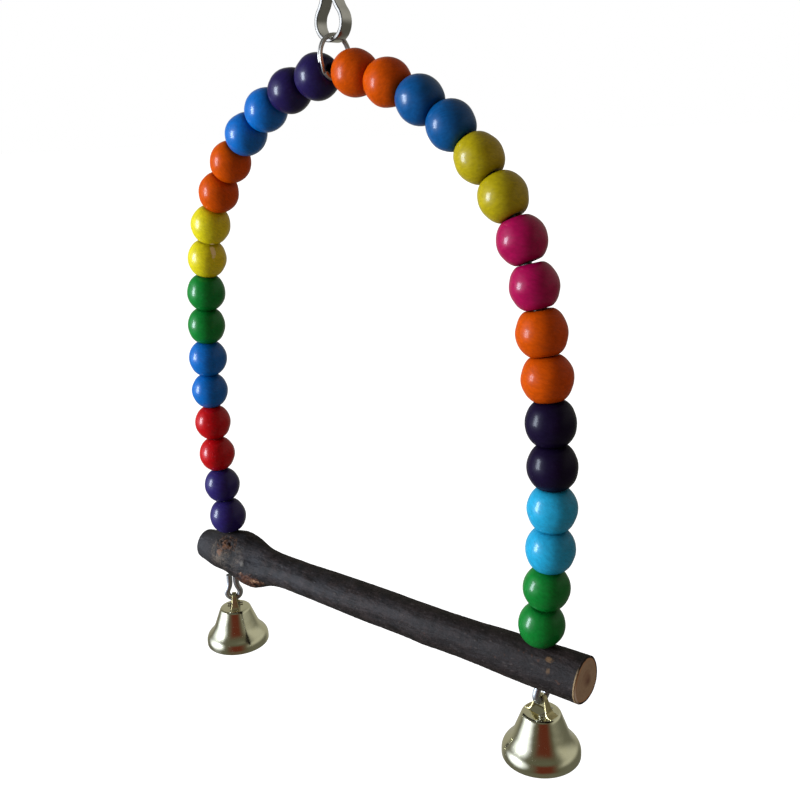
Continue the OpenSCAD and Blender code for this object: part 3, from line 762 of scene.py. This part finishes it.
hanging = {joint["name"]: joint for joint in frame["joints"]}
slot_short, slot_edge = 0.6, 0.05
lean = math.radians(strap_slope)
fall = strap_top - crown_height + bell_thick / 2 - strap_proud
flank = (fall - (strap_top + strap_foot) * (1 - math.cos(lean))) / math.sin(lean)
reach = (strap_top + strap_foot) * math.sin(lean) + flank * math.cos(lean)
foot = crown_flat - reach
strap_bends = [(0, foot), (strap_foot, strap_slope), (0, flank), (strap_top, -2 * strap_slope),
               (0, flank), (strap_foot, strap_slope), (0, foot)]
for end in ("left", "right"):
    shell = bell_shell("stamped_bell_" + end)
    box = bmesh.new()
    slot = Matrix.Diagonal(((2 * reach - slot_short) * MM, slot_wide * MM, 4 * bell_thick * MM, 1))
    slot = Matrix.Translation((0, 0, crown_height * MM)) @ slot
    bmesh.ops.create_cube(box, size=1, matrix=slot)
    punch = bpy.data.meshes.new("punch")
    box.to_mesh(punch)
    box.free()
    drilled(shell, [made("punch", punch)])
    shell.data.shade_smooth()
    shell.data.set_sharp_from_angle(angle=math.radians(38))
    for face in shell.data.polygons:
        along_slot = abs(face.center.x) < reach * MM
        in_slot = along_slot and abs(face.center.y) < (slot_wide / 2 + slot_edge) * MM
        face.material_index = 1 if in_slot and abs(face.normal.z) < 0.3 else 0
    path = [(a, 0, b) for a, b, heading in walk(strap_bends, (-crown_flat, strap_top - fall, 0), 0.3)]
    strap = grown("strap", strip_tree, {
        "Thickness": bell_thick * MM, "Width": strap_wide * MM, "Edge Rounding": strap_edge * MM,
        "Flat Side": (0, 1, 0), "Finish": strap_plate}, path_mesh("strap_path", path))
    for face in strap.data.polygons:
        face.material_index = 1
    for point in strap.data.vertices:
        point.co.y *= 1 + strap_spread * min(1, max(0, (strap_top - point.co.z / MM) / fall)) ** 2
    both = bmesh.new()
    both.from_mesh(shell.data)
    both.from_mesh(strap.data)
    whole = bpy.data.meshes.new("stamped_bell_" + end)
    both.to_mesh(whole)
    both.free()
    bpy.data.objects.remove(strap)
    faced = Matrix.Rotation(math.radians(eye_turned[end] - 90), 4, "Z")
    whole.transform(Matrix.Translation(hanging[f"bell_{end}_swing"]["pos_m"]) @ faced)
    whole.materials.append(plate.material)
    whole.materials.append(strap_plate)
    shell.data = whole
    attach(shell, "bell_" + end)
    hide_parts("bell_" + end)


# Clappers: a plain steel ball on a thin wire, whose cross bar rests on the crown beside the
# strap and lets the ball swing inside the bell.
bright = scuffed_metal(
    "clapper_steel", 700, colour(150, 148, 144), colour(196, 194, 190), 0.22, 0.00006, 0.5)
for end in ("left", "right"):
    for kind in ("wire", "ball"):
        piece = frame["nodes"][f"clapper_{kind}_{end}"]
        piece.data.materials.clear()
        piece.data.materials.append(bright)


# Split ring: two flat turns of plated spring steel lying side by side, with a crossing where
# one turn steps over to the other. It joins the clip to the top of the arch wire.
ring_height, ring_bore, ring_thick, turn_wide, slit = -30.3672, 6.05, 1.1, 0.65, 0.1
ring_start, ring_end, crossing, crossing_long, ring_edge = 224, 914.1, 560, 24, 0.26
turn_aside, turn_middle = (turn_wide + slit) / 2, ring_bore + ring_thick / 2
ring_path = []
for degree in np.arange(ring_start, ring_end, 3):
    crossed = min(1, max(0, (degree - crossing) / crossing_long))
    side = turn_aside * (1 - 2 * crossed * crossed * (3 - 2 * crossed))
    t = math.radians(degree)
    ring_path.append((side, turn_middle * math.cos(t), ring_height + turn_middle * math.sin(t)))

nickel = scuffed_metal(
    "ring_nickel", 520, colour(206, 203, 196), colour(160, 156, 148), 0.4, 0.00008, 0.4)
ring = grown("flat_split_ring", strip_tree, {
    "Thickness": ring_thick * MM, "Width": turn_wide * MM, "Edge Rounding": ring_edge * MM,
    "Flat Side": (1, 0, 0), "Finish": nickel}, path_mesh("ring_path", ring_path))
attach(ring, "ring")
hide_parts("split_ring")


# Hanging clip: one strip of plated spring steel bent like a gourd, small loop below for the
# ring, large loop above for a bar. Its free side springs in under the lip to open the loop.
strip_thick, strip_wide, edge_round = 1.2, 4.5, 0.15
upper, lower, waist_gap, waist_height = 8.1, 5.3, 1.9, -10.5641
waist_high, waist_low, upper_cut, lower_cut = 4, 10.2, 60.8168, 38.6803
lip_round, lip_start, lip_turn, gate_gap, gate_top = 2, 70, 12, 0.3, 43.3256
lip_step = strip_thick + gate_gap
lip_bend = math.degrees(math.acos(1 - lip_step / (2 * lip_round)))

chrome = Finish("clip_chrome")
smudge = chrome.noise(chrome.place, 260, 4)
brushed = chrome.noise(chrome.stretch(chrome.place, (1, 0.08, 1)), 2200, 2)
on_edge = chrome.between(abs(chrome.parts(chrome.place)[1]), 0.0021, 0.00215)
# Painted shade: the rounded edges of the strip are painted nearly black, a dark line along the bright
# edge faces.
painted_dark_arris = chrome.between(abs(chrome.attribute("through", 2)), 0.45, 0.65) * on_edge
steel = chrome.blend(smudge * 0.8, colour(212, 209, 204), colour(166, 162, 156))
chrome.lay(
    Base_Color=chrome.blend(painted_dark_arris * 0.95, steel, colour(34, 31, 29)),
    Metallic=1.0,
    Roughness=0.1 + smudge * 0.14 + brushed * 0.05 + on_edge * 0.58,
    Normal=chrome.bump(smudge * 0.8 + brushed * 0.1, 0.00005, 0.3),
)
start = math.radians(lip_start)
inside_lip = (upper * math.cos(start), upper * math.sin(start), start - math.pi / 2)
lip_bends = [(lip_round, lip_bend), (lip_round, -lip_bend)]
tip = walk(lip_bends + [(upper + lip_step, -lip_turn)], inside_lip)[-1]
strip_bends = [(upper + lip_step, lip_turn)] + lip_bends + [
    (upper, 180 + upper_cut - lip_start), (waist_high, -upper_cut), (waist_low, -lower_cut),
    (lower, 180 + 2 * lower_cut), (waist_low, -lower_cut)]
gate_skip = math.degrees(gate_gap / waist_high)
gate_foot = walk([(waist_high, -gate_skip)], (waist_gap, waist_height, math.pi / 2))[-1]
gate_bends = [(waist_high, gate_skip - upper_cut), (upper, upper_cut + gate_top)]
for node, body, bends, begin in (
        ("clip_strip", "clip", strip_bends, (tip[0], tip[1], tip[2] + math.pi)),
        ("clip_gate", "gate", gate_bends, gate_foot)):
    path = [(a, 0, b) for a, b, heading in walk(bends, begin, 0.35)]
    bent = grown("bent_" + node, strip_tree, {
        "Thickness": strip_thick * MM, "Width": strip_wide * MM, "Edge Rounding": edge_round * MM,
        "Flat Side": (0, 1, 0), "Finish": chrome.material}, path_mesh(node + "_path", path))
    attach(bent, body)
    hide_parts(node)


# Studio: a plain pale floor well below the swing, a tall window of soft light to the left of
# the front, weak light all round, and the camera in front and to the right, a little above.
floor_paint = Finish("floor_paint")
floor_grain = floor_paint.noise(floor_paint.place, 3, 2)
floor_paint.lay(
    Base_Color=floor_paint.blend(floor_grain, colour(120, 120, 120), colour(126, 126, 126)),
    Roughness=0.9,
    Emission_Color=colour(255, 255, 255),
    Emission_Strength=1.1,
)
floor_half, floor_level = 40, -0.42
floor_corners = [(x * floor_half, y * floor_half, floor_level)
                 for x, y in ((-1, -1), (1, -1), (1, 1), (-1, 1))]
floor_sheet = bpy.data.meshes.new("floor")
floor_sheet.from_pydata(floor_corners, [], [(0, 1, 2, 3)])
floor_sheet.materials.append(floor_paint.material)
floor = made("floor", floor_sheet)
floor.visible_diffuse = False
floor.visible_glossy = False

sky = bpy.data.worlds.new("studio")
sky.use_nodes = True
bpy.context.scene.world = sky
air = Nodes(sky.node_tree)
look = air.add("ShaderNodeTexCoord", give="Generated")
east, north, above = air.parts(look)
# Across runs to the right of someone who faces the swing, toward runs from the swing to them.
face_east, face_north = 0.743, 0.669
across, toward = east * face_east + north * face_north, east * face_north - north * face_east
glow = air.blend(air.between(above, -0.6, 0.8), (0.27, 0.25, 0.24, 1), (0.21, 0.19, 0.19, 1))
glow = air.blend(air.between(across, 0.1, 0.8), glow, (0.34, 0.25, 0.22, 1))
# The room shows only in reflections: a pale wall on the right, a pale back, and a dim front
# with a dark doorway in it. The window is its one bright pane.
wall = air.between(across, -0.2, 0.9) * air.between(above, -0.2, 0.35)
room = air.blend(wall, (0.135, 0.135, 0.112, 1), (0.47, 0.47, 0.42, 1))
room = air.blend(air.between(toward, -0.5, -0.9), room, (0.36, 0.355, 0.3, 1))
dusk = (1 - air.between(abs(across), 0.45, 0.9)) * air.between(toward, -0.1, 0.3)
dusk = dusk * (1 - air.between(abs(above - 0.15), 0.6, 0.85))
room = air.blend(dusk, room, (0.1, 0.1, 0.074, 1))
door = (1 - air.between(abs(across), 0.2, 0.66)) * air.between(toward, 0.2, 0.4)
door = door * (1 - air.between(abs(above - 0.05), 0.34, 0.72))
room = air.blend(door, room, (0.11, 0.025, 0.014, 1))
shiny = air.add("ShaderNodeLightPath", give="Is Glossy Ray")
glow = air.blend(shiny, glow, room)
pane = 1 - air.between(air.far(look, (-0.65, -0.75, 0.12)), 0.3, 0.75)
glow = air.blend(pane, glow, air.blend(shiny, (1.05, 1.08, 1.1, 1), (1.2, 1.3, 1.6, 1)))
seen = air.add("ShaderNodeLightPath", give="Is Camera Ray")
glow = air.blend(seen, glow, (1, 1, 1, 1))
feed(sky.node_tree.nodes["Background"].inputs["Color"], glow)

window_place, window_aim = Vector((-0.62, -0.78, -0.02)), Vector((0, 0, -0.14))
daylight = bpy.data.lights.new("window", "AREA")
daylight.shape, daylight.size, daylight.size_y = "RECTANGLE", 0.32, 0.5
daylight.energy, daylight.color = 15.5, (0.86, 0.96, 1.08)
window = made("window", daylight)
window.location = window_place
window.rotation_euler = (window_aim - window_place).to_track_quat("-Z", "Y").to_euler()

view = bpy.data.cameras.new("photo_view")
view.lens, view.sensor_width, view.sensor_fit = 41.62, 36, "HORIZONTAL"
view.clip_start, view.clip_end = 0.01, 200
camera = made("photo_view", view)
camera_place = Vector((0.21053, -0.22352, -0.0529))
turned, tilted, rolled = (math.radians(a) for a in (40.327, 16.273, -2.352))
level = Vector((math.cos(turned), math.sin(turned), 0))
flat_ahead = math.cos(tilted)
ahead = Vector((-math.sin(turned) * flat_ahead, math.cos(turned) * flat_ahead, -math.sin(tilted)))
upright = level.cross(ahead)
side = level * math.cos(rolled) + upright * math.sin(rolled)
crown = upright * math.cos(rolled) - level * math.sin(rolled)
facing = Matrix((side, crown, -ahead)).transposed().to_4x4()
camera.matrix_world = Matrix.Translation(camera_place) @ facing
bpy.context.scene.camera = camera
bpy.context.scene.view_settings.view_transform = "Standard"
